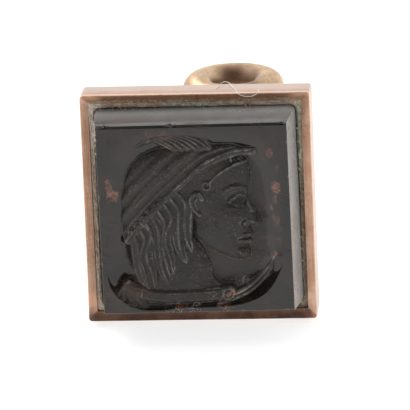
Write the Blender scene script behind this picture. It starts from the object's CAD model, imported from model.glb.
import math

import bpy
import numpy as np
from mathutils import Matrix, Vector


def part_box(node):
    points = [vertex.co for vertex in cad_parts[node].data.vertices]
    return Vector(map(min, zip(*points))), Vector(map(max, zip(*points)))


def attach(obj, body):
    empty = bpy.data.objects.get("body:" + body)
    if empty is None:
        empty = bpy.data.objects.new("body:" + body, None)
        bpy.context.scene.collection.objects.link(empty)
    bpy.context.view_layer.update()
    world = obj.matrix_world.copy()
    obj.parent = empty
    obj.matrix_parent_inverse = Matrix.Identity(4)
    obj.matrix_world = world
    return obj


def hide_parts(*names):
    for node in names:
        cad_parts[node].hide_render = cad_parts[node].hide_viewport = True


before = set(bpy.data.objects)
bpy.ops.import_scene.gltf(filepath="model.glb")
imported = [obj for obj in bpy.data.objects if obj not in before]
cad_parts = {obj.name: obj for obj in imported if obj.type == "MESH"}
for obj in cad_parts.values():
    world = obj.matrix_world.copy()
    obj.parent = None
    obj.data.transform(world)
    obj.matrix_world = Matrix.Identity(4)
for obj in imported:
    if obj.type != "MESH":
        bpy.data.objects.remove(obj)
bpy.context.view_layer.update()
scene = bpy.context.scene
print("frame loaded")

# Sizes of the solids in mm, in the seal's own frame: x right, y up the face, z out of the face
seal = {
    "rimWidth": 18.0, "rimHeight": 18.2, "rimWall": 0.7, "rimDepth": 2.9, "edgeBreak": 0.12,
    "pocketDepth": 1.6, "pocketCorner": 0.25, "girdleCorner": 0.5,
    "stoneGap": 0.42, "girdleDrop": 0.4, "tableHeight": 3.5, "sideLean": 0.43, "stoneTurn": 0.5,
    "recessFrame": 0.33, "recessSquareness": 3.6, "recessDepth": 1.3, "recessCove": 1.7,
    "floorRise": 0.25, "headroom": 0.05,
    "plateInset": 1.1, "plateCove": 0.5, "plateLip": 0.3, "plateThickness": 1.2,
    "pyramidInset": 0.6, "pyramidLength": 9.6, "pyramidHollow": 2.1, "footRoundness": 0.08,
    "neckRadius": 2.3, "collarBulge": 0.65, "collarLength": 1.6, "collarTurn": 153,
    "stemLength": 18.8, "footBead": 0.3, "belly": 2.7, "waist": 1.25, "bead": 1.95, "stemEnd": 1.05,
    "loopRadius": 2.92, "loopWire": 1.31, "seamGap": 0.02,
}
mm = 0.001

outerHalf = np.array([seal["rimWidth"], seal["rimHeight"]]) / 2
pocketHalf = outerHalf - seal["rimWall"]
girdleHalf = pocketHalf - seal["stoneGap"]
tableHalf = girdleHalf - seal["sideLean"]
recessHalf = tableHalf - seal["recessFrame"]
plateHalf = outerHalf - seal["plateInset"]
pyramidHalf = plateHalf - seal["plateCove"] - seal["pyramidInset"]
plateBack = seal["rimDepth"] + seal["plateThickness"]
pyramidBack = plateBack + seal["pyramidLength"]
settingBack = pyramidBack + seal["collarLength"]
loopCentre = settingBack + seal["seamGap"] + seal["stemLength"] + seal["loopRadius"]


def sealPlace():
    # the seal lies on the lower back edge of its rim and the far end of its loop
    drop = outerHalf[1]
    edgeBack = seal["rimDepth"] - seal["edgeBreak"]
    run = loopCentre + seal["loopRadius"] - edgeBack
    tilt = math.atan2(drop, run) - math.asin(seal["loopWire"] / math.hypot(drop, run))
    lowest = -drop * math.cos(tilt) - edgeBack * math.sin(tilt)
    foremost = -(drop - seal["edgeBreak"]) * math.sin(tilt)
    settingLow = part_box("setting")[0]
    offset = Vector((0, settingLow.y - foremost * mm, settingLow.z - lowest * mm))
    return Matrix.Translation(offset) @ Matrix.Rotation(math.pi / 2 - tilt, 4, "X") @ Matrix.Scale(mm, 4)


place = sealPlace()
turnStone = Matrix.Rotation(math.radians(seal["stoneTurn"]), 4, "Z")


# Curves and falloffs
def ease(t):
    t = np.clip(t, 0, 1)
    return t * t * (3 - 2 * t)


def roundTop(t):
    return np.sqrt(np.clip(1 - t * t, 0, 1))


def swell(inside, width):
    return roundTop(1 - np.clip(inside / width, 0, 1))


def smoothLine(points, closed=False, steps=6):
    pts = np.array(points, float)
    count = len(pts)
    out = []
    for i in range(count if closed else count - 1):
        b, c = pts[i], pts[(i + 1) % count]
        a = pts[i - 1] if closed or i > 0 else 2 * b - c
        d = pts[(i + 2) % count] if closed or i + 2 < count else 2 * c - b
        for t in np.arange(steps) / steps:
            cubic = (3 * b - a - 3 * c + d) * t ** 3 + (2 * a - 5 * b + 4 * c - d) * t * t
            out.append(0.5 * (cubic + (c - a) * t + 2 * b))
    out.append(pts[0] if closed else pts[-1])
    return np.array(out)


def nearest(u, v, line):
    # distance to a line, and how far along it the nearest point is, 0 to 1
    distance = np.full(u.shape, 1e9)
    share = np.zeros(u.shape)
    for i, ((x, y), (dx, dy)) in enumerate(zip(line[:-1], np.diff(line, axis=0))):
        t = np.clip(((u - x) * dx + (v - y) * dy) / max(dx * dx + dy * dy, 1e-12), 0, 1)
        away = np.hypot(u - x - t * dx, v - y - t * dy)
        closer = away < distance
        distance[closer] = away[closer]
        share[closer] = (i + t[closer]) / (len(line) - 1)
    return distance, share


def depthInside(u, v, outline):
    odd = np.zeros(u.shape, bool)
    for (x0, y0), (x1, y1) in zip(outline[:-1], outline[1:]):
        if y0 != y1:
            odd ^= ((y0 > v) != (y1 > v)) & (u < x0 + (v - y0) * (x1 - x0) / (y1 - y0))
    distance = nearest(u, v, outline)[0]
    return np.where(odd, distance, -distance)


def quarterTurn(steps):
    # sines and cosines from 0 to 90 degrees
    angles = np.linspace(0, math.pi / 2, steps)
    return zip(np.sin(angles), np.cos(angles))


def mound(u, v, centre, radii, turn=0):
    angle = math.radians(turn)
    along = ((u - centre[0]) * math.cos(angle) + (v - centre[1]) * math.sin(angle)) / radii[0]
    across = ((v - centre[1]) * math.cos(angle) - (u - centre[0]) * math.sin(angle)) / radii[1]
    return np.clip(1 - along * along - across * across, 0, 1)


def softNoise(x, y, cell, seed):
    # smooth values from -1 to 1 over a fixed random lattice, which repeats
    size = 64
    start = (500.3, 500.7)
    lattice = np.random.default_rng(seed).uniform(-1, 1, (size, size))
    gx, gy = np.asarray(x) / cell + start[0], np.asarray(y) / cell + start[1]
    ix, iy = np.floor(gx).astype(int), np.floor(gy).astype(int)
    fx, fy = ease(gx - ix), ease(gy - iy)

    def row(up):
        here, following = (lattice[(ix + right) % size, (iy + up) % size] for right in (0, 1))
        return here * (1 - fx) + following * fx

    return row(0) * (1 - fy) + row(1) * fy


def layeredNoise(x, y, cell, seed, layers=3):
    total = sum(softNoise(x, y, cell / 2 ** i, seed + i) / 2 ** i for i in range(layers))
    return total / (2 - 0.5 ** (layers - 1))


# Meshes
def newPiece(name, vertices, faces, smooth=True, turn=None, masks=None):
    # vertices in mm in the seal's frame; sealSpot keeps them for the materials
    spots = np.array(vertices, float)
    mesh = bpy.data.meshes.new(name)
    mesh.from_pydata(spots.tolist(), [], faces)
    if smooth is True:
        smooth = [True] * len(faces)
    mesh.polygons.foreach_set("use_smooth", smooth)
    keepMask(mesh, "sealSpot", spots, "FLOAT_VECTOR")
    for maskName, values in (masks or {}).items():
        keepMask(mesh, maskName, values)
    mesh.transform(place @ (turn or Matrix.Identity(4)))
    mesh.update()
    piece = bpy.data.objects.new(name, mesh)
    scene.collection.objects.link(piece)
    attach(piece, "root")
    return piece


def keepMask(mesh, name, values, kind="FLOAT"):
    layer = mesh.attributes.new(name, kind, "POINT")
    field = "vector" if kind == "FLOAT_VECTOR" else "value"
    layer.data.foreach_set(field, np.asarray(values, np.float32).ravel())


def ringFaces(first, second, around):
    # quads between two rings of the same length, whose first vertices are given
    pairs = [(i, (i + 1) % around) for i in range(around)]
    return [[first + i, second + i, second + j, first + j] for i, j in pairs]


def loftFaces(ringCount, around):
    faces = []
    for level in range(ringCount - 1):
        faces += ringFaces(level * around, (level + 1) * around, around)
    faces.append(list(range(around)))
    faces.append(list(range(ringCount * around - 1, (ringCount - 1) * around - 1, -1)))
    return faces


# The carving: outlines, with finer cutting on them
figure = {
    "halfWidth": 7.12, "hairline": (4.15, 4.6), "faceHeight": 8.2, "lean": 3, "muscleRise": 0.12,
    "muscleWidth": 0.8,
}
outlines = {
    "profile": [
        (0, 0), (0.035, 0.2), (0.012, 0.365), (0.07, 0.5), (0.128, 0.625), (0.112, 0.655), (0.045, 0.675),
        (0.07, 0.752), (0.048, 0.782), (0.064, 0.82), (0.03, 0.862), (0.05, 0.925), (0.02, 0.99),
    ],
    "jawAndSkull": [
        (-0.07, 1.01), (-0.22, 0.965), (-0.38, 0.88), (-0.5, 0.76), (-0.53, 0.6), (-0.72, 0.62), (-0.9, 0.5),
        (-1.02, 0.3), (-0.98, 0.05), (-0.8, -0.08), (-0.5, -0.1), (-0.2, -0.06),
    ],
    "neck": [
        (-3.3, 0.2), (-0.4, -1.4), (0.9, -3.6), (1.25, -5), (2.3, -6), (3, -6.9), (0, -7.3), (-3.8, -7.3),
        (-5.6, -6.2), (-4.7, -4),
    ],
    "helmet": [
        (4.85, 5.35), (3.1, 5.12), (0.94, 4.2), (-1.3, 2.4), (-3.4, 0.4), (-5.25, -1.7), (-5.75, -1.3),
        (-5.85, 1), (-5.2, 3.6), (-3.8, 5.1), (-1.5, 5.75), (1.2, 5.95), (3.4, 5.95),
    ],
    "brim": [(4.75, 5.3), (3.1, 5.12), (0.94, 4.2), (-1.3, 2.4), (-3.4, 0.4), (-5.3, -1.75)],
    "muscle": [(-1, -1.2), (0.2, -3.4), (1.6, -5.4)],
    "frontlet": [(4.5, 4.45), (3.2, 4.15), (2, 3.5), (1.1, 2.65)],
}
# Swellings and hollows of the face: place and radii in face heights, turn in degrees, rise in mm, power
faceForms = [
    ((-0.17, 0.6), (0.28, 0.2), 25, 0.16, 1.6),  # cheek
    ((-0.36, 0.8), (0.2, 0.14), -35, 0.07, 1.6),  # jaw
    ((-0.075, 0.4), (0.125, 0.085), 10, -0.28, 1.3),  # eye socket
    ((-0.068, 0.412), (0.062, 0.046), 0, 0.2, 0.7),  # eye
    ((0.028, 0.635), (0.06, 0.046), 10, 0.12, 1.2),  # nostril
    ((0.062, 0.664), (0.03, 0.014), 5, -0.14, 1),  # nostril's opening
    ((0.03, 0.755), (0.065, 0.028), -12, 0.11, 1),  # upper lip
    ((0.024, 0.818), (0.06, 0.03), 8, 0.12, 1),  # lower lip
    ((0, 0.865), (0.07, 0.028), 0, -0.06, 1),  # hollow under the lip
    ((0, 0.925), (0.085, 0.07), 0, 0.13, 1.2),  # chin
]
# Ridges and grooves of the face: width and rise in mm, points in face heights
faceLines = [
    (0.36, 0.13, [(-0.2, 0.325), (-0.13, 0.28), (-0.04, 0.283), (0.015, 0.325)]),  # brow
    (0.19, 0.13, [(-0.15, 0.418), (-0.1, 0.372), (-0.05, 0.358), (-0.008, 0.372)]),  # upper lid
    (0.16, 0.08, [(-0.14, 0.43), (-0.085, 0.458), (-0.03, 0.455)]),  # lower lid
    (0.12, -0.05, [(-0.165, 0.385), (-0.1, 0.335), (-0.03, 0.33)]),  # fold over the lid
    (0.4, 0.1, [(0, 0.36), (0.045, 0.5), (0.085, 0.62)]),  # bridge of the nose
    (0.17, -0.11, [(-0.005, 0.6), (-0.03, 0.64), (-0.005, 0.672)]),  # edge of the nostril
    (0.15, -0.16, [(0.065, 0.783), (0.005, 0.785), (-0.055, 0.795)]),  # mouth
    (0.32, 0.2, [  # ear
        (-0.44, 0.56), (-0.505, 0.5), (-0.525, 0.42), (-0.49, 0.36), (-0.44, 0.355), (-0.415, 0.4),
    ]),
    (0.14, 0.08, [(-0.455, 0.5), (-0.48, 0.44), (-0.46, 0.4)]),  # inner ear
]
# Forms of the bust in mm, raised from the ground of the recess; hairs counts the waves across a strand
plainStrand = {"tapers": False, "widening": 0, "comb": 0, "hairs": 0}
forms = {
    "neck": {"lift": 0, "rise": 0.6, "edge": 1.8},
    "head": {"lift": 0.12, "rise": 0.72, "edge": 2.2},
    "helmet": {"lift": 0.3, "rise": 0.72, "edge": 2},
    "brim": plainStrand | {"width": 0.3, "lift": 0.75, "rise": 0.25},
    "ribs": {
        "start": 0.5, "end": 3.6, "first": 0.55, "spacing": 0.95, "rise": 0.07, "fadeIn": 0.3, "fadeOut": 0.8,
    },
    "lock": plainStrand | {
        "width": 0.56, "lift": 0.6, "rise": 0.36, "tapers": True, "comb": 0.05, "hairs": 7,
    },
    "fold": plainStrand | {"width": 0.33, "lift": 0.5, "rise": 0.24, "comb": 0.02, "hairs": 5},
    "knotEnd": plainStrand | {"width": 0.12, "widening": 0.3, "lift": 0.45, "rise": 0.3},
    "shaft": plainStrand | {"width": 0.17, "lift": 0.5, "rise": 0.26},
    "feather": plainStrand | {
        "width": 0.42, "lift": 0.56, "rise": 0.36, "tapers": True, "comb": 0.05, "hairs": 8,
    },
    "brooch": {
        "at": (2.5, -6.2), "radius": 0.55, "lift": 0.8, "rise": 0.18,
        "ring": 0.28, "groove": 0.12, "width": 0.09,
    },
    "frontlet": {"width": 0.2, "rise": 0.14, "scroll": (1, 2.55), "scrollRadius": 0.3, "scrollWidth": 0.16},
}
counts = {"lock": 8, "fold": 5, "knotEnd": 4, "shaft": 2, "feather": 6}


def facePoint(point):
    lean = math.radians(figure["lean"])
    x, y = point[0] * figure["faceHeight"], -point[1] * figure["faceHeight"]
    across = figure["hairline"][0] + x * math.cos(lean) + y * math.sin(lean)
    up = figure["hairline"][1] - x * math.sin(lean) + y * math.cos(lean)
    return across, up


def lockPoints(i):
    share = i / (counts["lock"] - 1)
    x, y = -1.5 - 3.5 * share, 2.3 - 3.3 * share
    drop = 3.4 + 2.4 * math.sin(math.pi * (0.25 + 0.6 * share))
    sway = 0.35 * math.sin(1.9 * i + 0.6)
    bend = 1 - 0.75 * share
    return [
        (x, y), (x + 0.25 + 0.5 * bend, y - 0.22 * drop), (x + 0.1 + 0.35 * bend + sway, y - 0.5 * drop),
        (x + 0.5 + 0.1 * bend + 0.6 * sway, y - 0.78 * drop), (x + 0.95 + sway, y - drop),
    ]


def foldPoints(i):
    share = i / (counts["fold"] - 1)
    return [
        (-5.4 + 0.35 * share, -5.2 - 0.55 * share), (-3.2, -6 - 0.4 * share),
        (-0.6 + 0.1 * share, -6.15 - 0.5 * share), (2.3 + 0.2 * share, -6 - 0.5 * share),
    ]


def featherPoints(i):
    share = i / (counts["feather"] - 1)
    return [
        (1.3 - 2.6 * share, 5.6), (0.3 - 2.6 * share, 6.35 - 0.05 * share),
        (-1 - 2.3 * share, 6.75 - 0.25 * share), (-2.3 - 2.1 * share, 6.7 - 0.9 * share),
    ]


def knotPoints(i):
    return [(-5.3, -4.9), (-5.9 + 0.28 * i, -5.7), (-6.1 + 0.62 * i, -6.6), (-5.6 + 0.62 * i, -7.3)]


def shaftPoints(i):
    lift = 0.42 * i
    return [(1.9, -7 + 0.7 * lift), (3.9, -6.25 + lift), (5.4, -4.9 + lift), (6.35, -3.2 + 0.6 * lift)]


strandPoints = {
    "lock": lockPoints, "fold": foldPoints, "knotEnd": knotPoints,
    "shaft": shaftPoints, "feather": featherPoints,
}


def carveBust(u, v, height):
    # raises the figure from the ground of the recess, and says where it did
    ground = seal["floorRise"] - seal["recessDepth"]
    touched = np.zeros(u.shape, bool)

    def raiseTo(spots, top):
        higher = top > height[spots]
        height[spots[higher]] = top[higher]
        touched[spots[higher]] = True

    def closeTo(line, margin):
        low, high = line.min(0) - margin, line.max(0) + margin
        return np.flatnonzero((u > low[0]) & (u < high[0]) & (v > low[1]) & (v < high[1]))

    def layStrand(points, form):
        line = smoothLine(points)
        spots = closeTo(line, form["width"] + form["widening"])
        distance, share = nearest(u[spots], v[spots], line)
        taper = np.sin(math.pi * np.minimum(0.86 * share + 0.14, 1)) ** 0.6 + 0.06 if form["tapers"] else 1
        across = distance / (form["width"] * taper + form["widening"] * share)
        top = ground + form["lift"] + form["rise"] * roundTop(across)
        top += form["comb"] * np.cos(across * form["hairs"])
        raiseTo(spots[across < 1], top[across < 1])

    def layStrands(*names):
        for name in names:
            for i in range(counts[name]):
                layStrand(strandPoints[name](i), forms[name])

    def swollen(outline, form):
        # the vertices inside an outline, and a rounded form over them
        spots = closeTo(outline, 0)
        inside = depthInside(u[spots], v[spots], outline)
        spots, inside = spots[inside > 0], inside[inside > 0]
        return spots, ground + form["lift"] + form["rise"] * swell(inside, form["edge"])

    def onLine(spots, points, width):
        return ease(1 - nearest(u[spots], v[spots], smoothLine(points))[0] / width)

    spots, top = swollen(smoothLine(outlines["neck"], True), forms["neck"])
    raiseTo(spots, top + figure["muscleRise"] * onLine(spots, outlines["muscle"], figure["muscleWidth"]))

    headOutline = [facePoint(p) for p in outlines["profile"] + outlines["jawAndSkull"]]
    headSpots, top = swollen(smoothLine(headOutline, True), forms["head"])
    for centre, radii, turn, rise, power in faceForms:
        reach = [radius * figure["faceHeight"] for radius in radii]
        top += rise * mound(u[headSpots], v[headSpots], facePoint(centre), reach, turn) ** power
    for width, rise, points in faceLines:
        top += rise * onLine(headSpots, [facePoint(p) for p in points], width)
    raiseTo(headSpots, top)

    layStrands("lock", "fold", "knotEnd", "shaft")
    form = forms["brooch"]
    away = np.hypot(u - form["at"][0], v - form["at"][1])
    spots = np.flatnonzero(away < form["radius"])
    top = ground + form["lift"] + form["rise"] * roundTop(away[spots] / form["radius"])
    raiseTo(spots, top - form["groove"] * ease(1 - np.abs(away[spots] - form["ring"]) / form["width"]))

    # helmet: ribbed bowl, then its brim
    ribs = forms["ribs"]
    spots, top = swollen(smoothLine(outlines["helmet"], True), forms["helmet"])
    fromBrim = nearest(u[spots], v[spots], smoothLine(outlines["brim"]))[0]
    wave = np.cos(np.maximum(fromBrim - ribs["first"], 0) * 2 * math.pi / ribs["spacing"])
    fade = ease((fromBrim - ribs["start"]) / ribs["fadeIn"])
    fade *= ease((ribs["end"] - fromBrim) / ribs["fadeOut"])
    raiseTo(spots, top + ribs["rise"] * wave * fade)
    layStrand(outlines["brim"], forms["brim"])

    # frontlet with its scroll, on the forehead
    form = forms["frontlet"]
    band = onLine(headSpots, outlines["frontlet"], form["width"])
    toScroll = np.hypot(u[headSpots] - form["scroll"][0], v[headSpots] - form["scroll"][1])
    scroll = ease(1 - np.abs(toScroll - form["scrollRadius"]) / form["scrollWidth"])
    height[headSpots] += form["rise"] * np.maximum(band, scroll)
    layStrands("feather")
    return touched


# Rusty brown stains and chips where thin stone glows: place, radii in mm, strength
amberSpots = [
    ((-6.75, 3.05), (0.35, 0.3), 0.8), ((-6.4, 1.9), (0.5, 0.75), 1.0), ((-6.6, 2.5), (0.3, 0.5), 0.7),
    ((6.1, 5.1), (0.35, 0.45), 0.4), ((6.5, 3.9), (0.28, 0.4), 0.4), ((6.35, 2.1), (0.45, 0.9), 0.95),
    ((6.15, 1.0), (0.45, 0.7), 0.9), ((6.3, -0.2), (0.35, 0.8), 0.35), ((6.5, -1.4), (0.3, 0.8), 0.22),
    ((6.05, -3.15), (0.35, 0.3), 0.5), ((-2.6, 6.85), (1.3, 0.5), 0.16), ((-1.6, 6.1), (1.9, 1.0), 0.1),
    ((-0.9, -7.1), (1.1, 0.22), 0.8), ((2.2, -7.05), (0.7, 0.25), 0.8), ((2.6, -6.25), (0.6, 0.45), 0.9),
    ((-5.2, -5.8), (1.7, 1.5), 0.12), ((3.6, -6.75), (0.9, 0.2), 0.25), ((5.3, -2.6), (1.5, 1.2), 0.07),
]
# Grains of pale crust left in the carving: centre, radii, strength
grainSpots = [
    ((-1.6, -6.95), (1.1, 0.4), 0.4), ((-0.3, -7.05), (0.9, 0.3), 0.9), ((2.0, -6.9), (0.8, 0.4), 0.8),
    ((2.6, -6.25), (0.9, 0.6), 0.8), ((3.4, -5.6), (1.1, 0.6), 0.5), ((1.2, -6.4), (0.8, 0.5), 0.4),
]
# Edges worn or scratched white: width in mm, strength, points
whiteLines = [
    (0.07, 1.0, [(4.6, 5.42), (3.1, 5.26), (1.9, 4.85), (0.94, 4.34)]),
    (0.06, 0.8, [(4.3, 4.5), (3.2, 4.2), (2, 3.55)]), (0.06, 0.6, [(0.4, 3.9), (-0.8, 2.9), (-2.2, 1.7)]),
    (0.07, 1.0, [(6.2, -3.0), (5.3, -4.35), (3.9, -5.7), (2.9, -6.3)]),
    (0.06, 0.8, [(5.7, -4.75), (4.6, -5.75), (3.5, -6.4)]),
    (0.05, 0.7, [(3.4, -5.7), (2.6, -6.0), (2.1, -6.4)]),
    (0.06, 0.7, [(-3.9, 0.6), (-2.9, -0.1), (-2.3, -1.2)]),
    (0.05, 0.6, [(-4.4, -0.2), (-3.7, -0.9), (-3.3, -2)]),
    (0.05, 0.5, [(-2.6, -2.7), (-2.2, -3.9), (-1.6, -5)]),
    (0.05, 0.5, [(-5.5, -1.9), (-5.0, -1.1), (-4.4, -0.6)]),
    (0.06, 0.6, [(-3.8, -4.3), (-4.3, -5.2), (-4.5, -6.4)]),
    (0.1, 1.0, [(3.55, 4.62), (3.72, 4.5), (3.88, 4.38)]),
    (0.08, 1.0, [(3.74, 4.74), (3.9, 4.6)]), (0.07, 0.9, [(2.95, 4.7), (3.0, 4.4)]),
]
# Sides of the table, counted counterclockwise
bottomSide, rightSide, topSide, leftSide = range(4)
# Nicks in the edge of the table: side, place along it in mm, half length, depth
edgeNicks = [
    (topSide, -1.7, 0.28, 0.3), (topSide, -1.2, 0.12, 0.12), (topSide, 7.2, 0.3, 0.22),
    (topSide, -6.9, 0.55, 0.3), (topSide, 4.6, 0.08, 0.06),
    (rightSide, 3.2, 0.1, 0.12), (rightSide, 5.9, 0.16, 0.1), (rightSide, -4.4, 0.12, 0.07),
    (rightSide, -7.1, 0.2, 0.14),
    (leftSide, 6.6, 0.4, 0.22), (leftSide, 1.8, 0.25, 0.12), (leftSide, -3.5, 0.15, 0.08),
    (bottomSide, -2.4, 0.3, 0.14), (bottomSide, 3.4, 0.2, 0.1), (bottomSide, 6.8, 0.2, 0.12),
]
# Dull film on the bottom, right, top and left sides, ring by ring from the table to the back
sideHaze = np.array([
    (0, 0, 0, 0.3, 0.3, 0.3, 0, 0),
    (0, 0, 0.75, 0.75, 0.8, 0.9, 0, 0),
    (0, 0, 0.03, 0.36, 0.62, 0.75, 0, 0),
    (0, 0, 0.3, 0.35, 0.4, 0.4, 0, 0),
])
carvedStone = {
    "gridCells": 276, "toolMarks": 0.022, "toolMarkSize": 0.17, "grainRise": 0.04, "grainSize": 0.11,
    "pitDepth": 0.03, "pitSize": 0.2, "groundMatt": 0.75, "proudEdge": 0.5,
    "wallWidth": 2.7, "wallFrom": -5.6, "wallOver": 2.4,
    "cutLeft": 0.4, "cutLow": 0.38, "cutFrom": -2.2, "cutOver": 3.2,
    "creaseReach": 4, "creaseDepth": 0.12, "ridgeReach": 2, "ridgeHeight": 0.03, "ridgeWear": 0.5,
    "chamfer": 0.035, "bottomChamfer": 0.03, "unevenness": 0.012, "topFall": 0.045, "wornStrip": 0.22,
    "girdleLevels": (-0.7, seal["seamGap"] - seal["pocketDepth"]),
}


def stainMask(u, v):
    mask = np.zeros(u.shape)
    most = np.zeros(u.shape)
    for centre, radii, strength in amberSpots:
        reach = mound(u, v, centre, radii) ** 0.5
        mask = np.maximum(mask, reach)
        most = np.maximum(most, strength * (reach > 0))
    speckled = 0.8 + 0.6 * softNoise(u, v, 0.17, 71)
    return most * speckled * ease((mask + 1.1 * layeredNoise(u, v, 0.4, 31) - 0.35) / 0.5)


def crustGrains(u, v):
    grains = np.zeros(u.shape)
    for centre, radii, strength in grainSpots:
        grains = np.maximum(grains, strength * mound(u, v, centre, radii) ** 0.5)
    return grains * ease((softNoise(u, v, carvedStone["grainSize"], 61) - 0.2) / 0.3)


def recessReach(x, y):
    power = seal["recessSquareness"]
    return (np.abs(x) ** power + np.abs(y) ** power) ** (1 / power)


def recessGround(v, inside):
    # a cove all round, which lies flatter up the sides
    look = carvedStone
    cove, rise, depth = seal["recessCove"], seal["floorRise"], seal["recessDepth"]
    within = np.maximum(inside, 0)
    height = rise * ease((inside - cove) / (recessHalf[0] - cove)) - depth * swell(within, cove)
    flatter = (rise - depth) * ease(within / look["wallWidth"])
    return height + (flatter - height) * ease((v - look["wallFrom"]) / look["wallOver"])


def stoneRings(squared, side):
    # frame of the table, worn lower along its top, its nicked edge, leaning sides, girdle and back
    look = carvedStone
    along = np.where(side % 2 == 0, squared[:, 0] * tableHalf[0], squared[:, 1] * tableHalf[1])
    chamfer = look["chamfer"] + look["bottomChamfer"] * (side == bottomSide)
    chamfer = chamfer + look["unevenness"] * softNoise(along, side * 9.0, 0.7, 3)
    for nickSide, where, halfLength, deep in edgeNicks:
        nick = (side == nickSide) * mound(along, 0 * along, (where, 0), (halfLength, 1)) ** 0.5
        chamfer += deep * nick * (0.7 + 0.5 * softNoise(along, side * 5.0, 0.12, 11))
    top, drop, corner = seal["tableHeight"], seal["girdleDrop"], seal["girdleCorner"]
    lean = seal["sideLean"] / (top + drop)
    edge = top - look["topFall"] * (side == topSide)
    rings = [
        np.column_stack([squared * (tableHalf - look["wornStrip"]), np.full(len(side), top)]),
        np.column_stack([squared * (tableHalf - 0.75 * chamfer[:, None]), edge]),
        np.column_stack([squared * (tableHalf + lean * chamfer[:, None]), edge - chamfer]),
    ]
    for level in (0.65, 0.32, 0.0):
        z = level * top - (1 - level) * drop
        rings.append(roundedSquare(squared, tableHalf + lean * (top - z), corner * (1 - level) ** 2, z))
    return rings + [roundedSquare(squared, girdleHalf, corner, z) for z in look["girdleLevels"]]


def makeStone():
    look = carvedStone
    cells = look["gridCells"]
    count = cells + 1
    s, t = np.meshgrid(np.linspace(-1, 1, count), np.linspace(-1, 1, count))
    s, t = s.ravel(), t.ravel()
    edge = np.maximum(np.abs(s), np.abs(t))
    onOutline = edge / np.maximum(recessReach(s, t), 1e-9)
    pull = 1 + (onOutline - 1) * edge * edge
    pull[edge == 0] = 1
    u, v = s * pull * recessHalf[0], t * pull * recessHalf[1]
    scale = recessHalf[0] / figure["halfWidth"]
    inside = (1 - recessReach(u / recessHalf[0], v / recessHalf[1])) * recessHalf[0]
    height = recessGround(v, inside)
    touched = carveBust(u / scale, v / scale, height)

    # tool marks, grains of crust and pitted stains; nothing of the figure rises over the table
    stains = stainMask(u, v)
    grains = crustGrains(u, v)
    matt = np.where(touched, 1, look["groundMatt"] * ease((inside - 0.75 * seal["recessCove"]) / 0.5))
    height += look["grainRise"] * grains
    height += look["toolMarks"] * layeredNoise(u, v, look["toolMarkSize"], 5) * matt
    height -= look["pitDepth"] * stains * (0.5 + layeredNoise(u, v, look["pitSize"], 41))
    highest = -seal["headroom"] * ease(inside / look["proudEdge"])
    height = np.where(touched, np.minimum(height, highest), height)
    height[edge == 1] = 0
    # the foot of the recess was cut a little low and to the left
    low = ease((look["cutFrom"] - v) / look["cutOver"]) * np.clip(1 - inside / recessHalf[0], 0, 1) ** 6
    u, v = u - look["cutLeft"] * low, v - look["cutLow"] * low * ease(-u / 5)
    grid = height.reshape(count, count)
    cavity = np.clip((blurGrid(grid, look["creaseReach"]) - grid) / look["creaseDepth"], 0, 1).ravel()
    proud = (grid - blurGrid(grid, look["ridgeReach"])) / look["ridgeHeight"] - 0.15
    ridge = np.maximum(look["ridgeWear"] * np.clip(proud, 0, 1).ravel() * touched, grains)
    for width, strength, points in whiteLines:
        ridge = np.maximum(ridge, strength * ease(1 - nearest(u, v, smoothLine(points))[0] / width))

    index = np.arange(count * count).reshape(count, count)
    corners = [index[:-1, :-1], index[:-1, 1:], index[1:, 1:], index[1:, :-1]]
    faces = np.stack(corners, axis=2).reshape(-1, 4).tolist()
    # the square at each corner of the grid would fold, so it is cut in two
    for corner in (cells * cells - 1, cells * (cells - 1), cells - 1, 0):
        a, b, c, d = faces.pop(corner)
        outwards = corner in (0, cells * cells - 1)
        faces += [[a, b, c], [a, c, d]] if outwards else [[a, b, d], [b, c, d]]
    smooth = [True] * len(faces)

    rim = np.concatenate([index[0, :-1], index[:-1, -1], index[-1, :0:-1], index[:0:-1, 0]])
    across = np.column_stack([s, t])[rim] * pull[rim, None]
    side = np.repeat(np.arange(4), cells)
    rings = stoneRings(across / np.abs(across).max(1)[:, None], side)
    start, around = count * count, len(rim)
    vertices = np.vstack([np.column_stack([u, v, seal["tableHeight"] + height])] + rings)
    faces += [[rim[i], start + i, start + (i + 1) % around, rim[(i + 1) % around]] for i in range(around)]
    for level in range(len(rings) - 1):
        faces += ringFaces(start + level * around, start + (level + 1) * around, around)
    faces.append(list(range(len(vertices) - around, len(vertices)))[::-1])
    smooth += [False] * (len(faces) - len(smooth))
    plain = np.zeros(len(vertices) - start)
    masks = {
        "matt": np.concatenate([matt, plain]), "cavity": np.concatenate([cavity, plain]),
        "ridge": np.concatenate([ridge, plain]),
        "stain": np.concatenate([stains, stainMask(vertices[start:, 0], vertices[start:, 1])]),
        "haze": np.concatenate([np.zeros(start)] + [sideHaze[side, level] for level in range(len(rings))]),
    }
    masks["stain"][-2 * around:] = 0
    piece = newPiece("carved_stone", vertices, faces, smooth, turnStone, masks)
    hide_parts("stone")
    return piece


def roundedSquare(squared, half, radius, z):
    # a square ring with its corners rounded, from directions that reach the edge of a unit square
    spots = squared * half
    if radius > 0:
        core = half - radius
        beyond = np.abs(spots) - core
        corner = (beyond > 0).all(1)
        away = beyond[corner] / np.linalg.norm(beyond[corner], axis=1)[:, None] * radius
        spots[corner] = np.sign(spots[corner]) * (core + away)
    return np.column_stack([spots, np.full(len(spots), z)])


def blurGrid(grid, reach):
    for axis in (0, 1):
        padded = np.pad(grid, [(reach, reach) if i == axis else (0, 0) for i in (0, 1)], mode="edge")
        total = np.cumsum(np.insert(padded, 0, 0, axis=axis), axis=axis)
        window = 2 * reach + 1
        ahead = np.take(total, range(window, total.shape[axis]), axis=axis)
        behind = np.take(total, range(0, total.shape[axis] - window), axis=axis)
        grid = (ahead - behind) / window
    return grid


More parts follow.
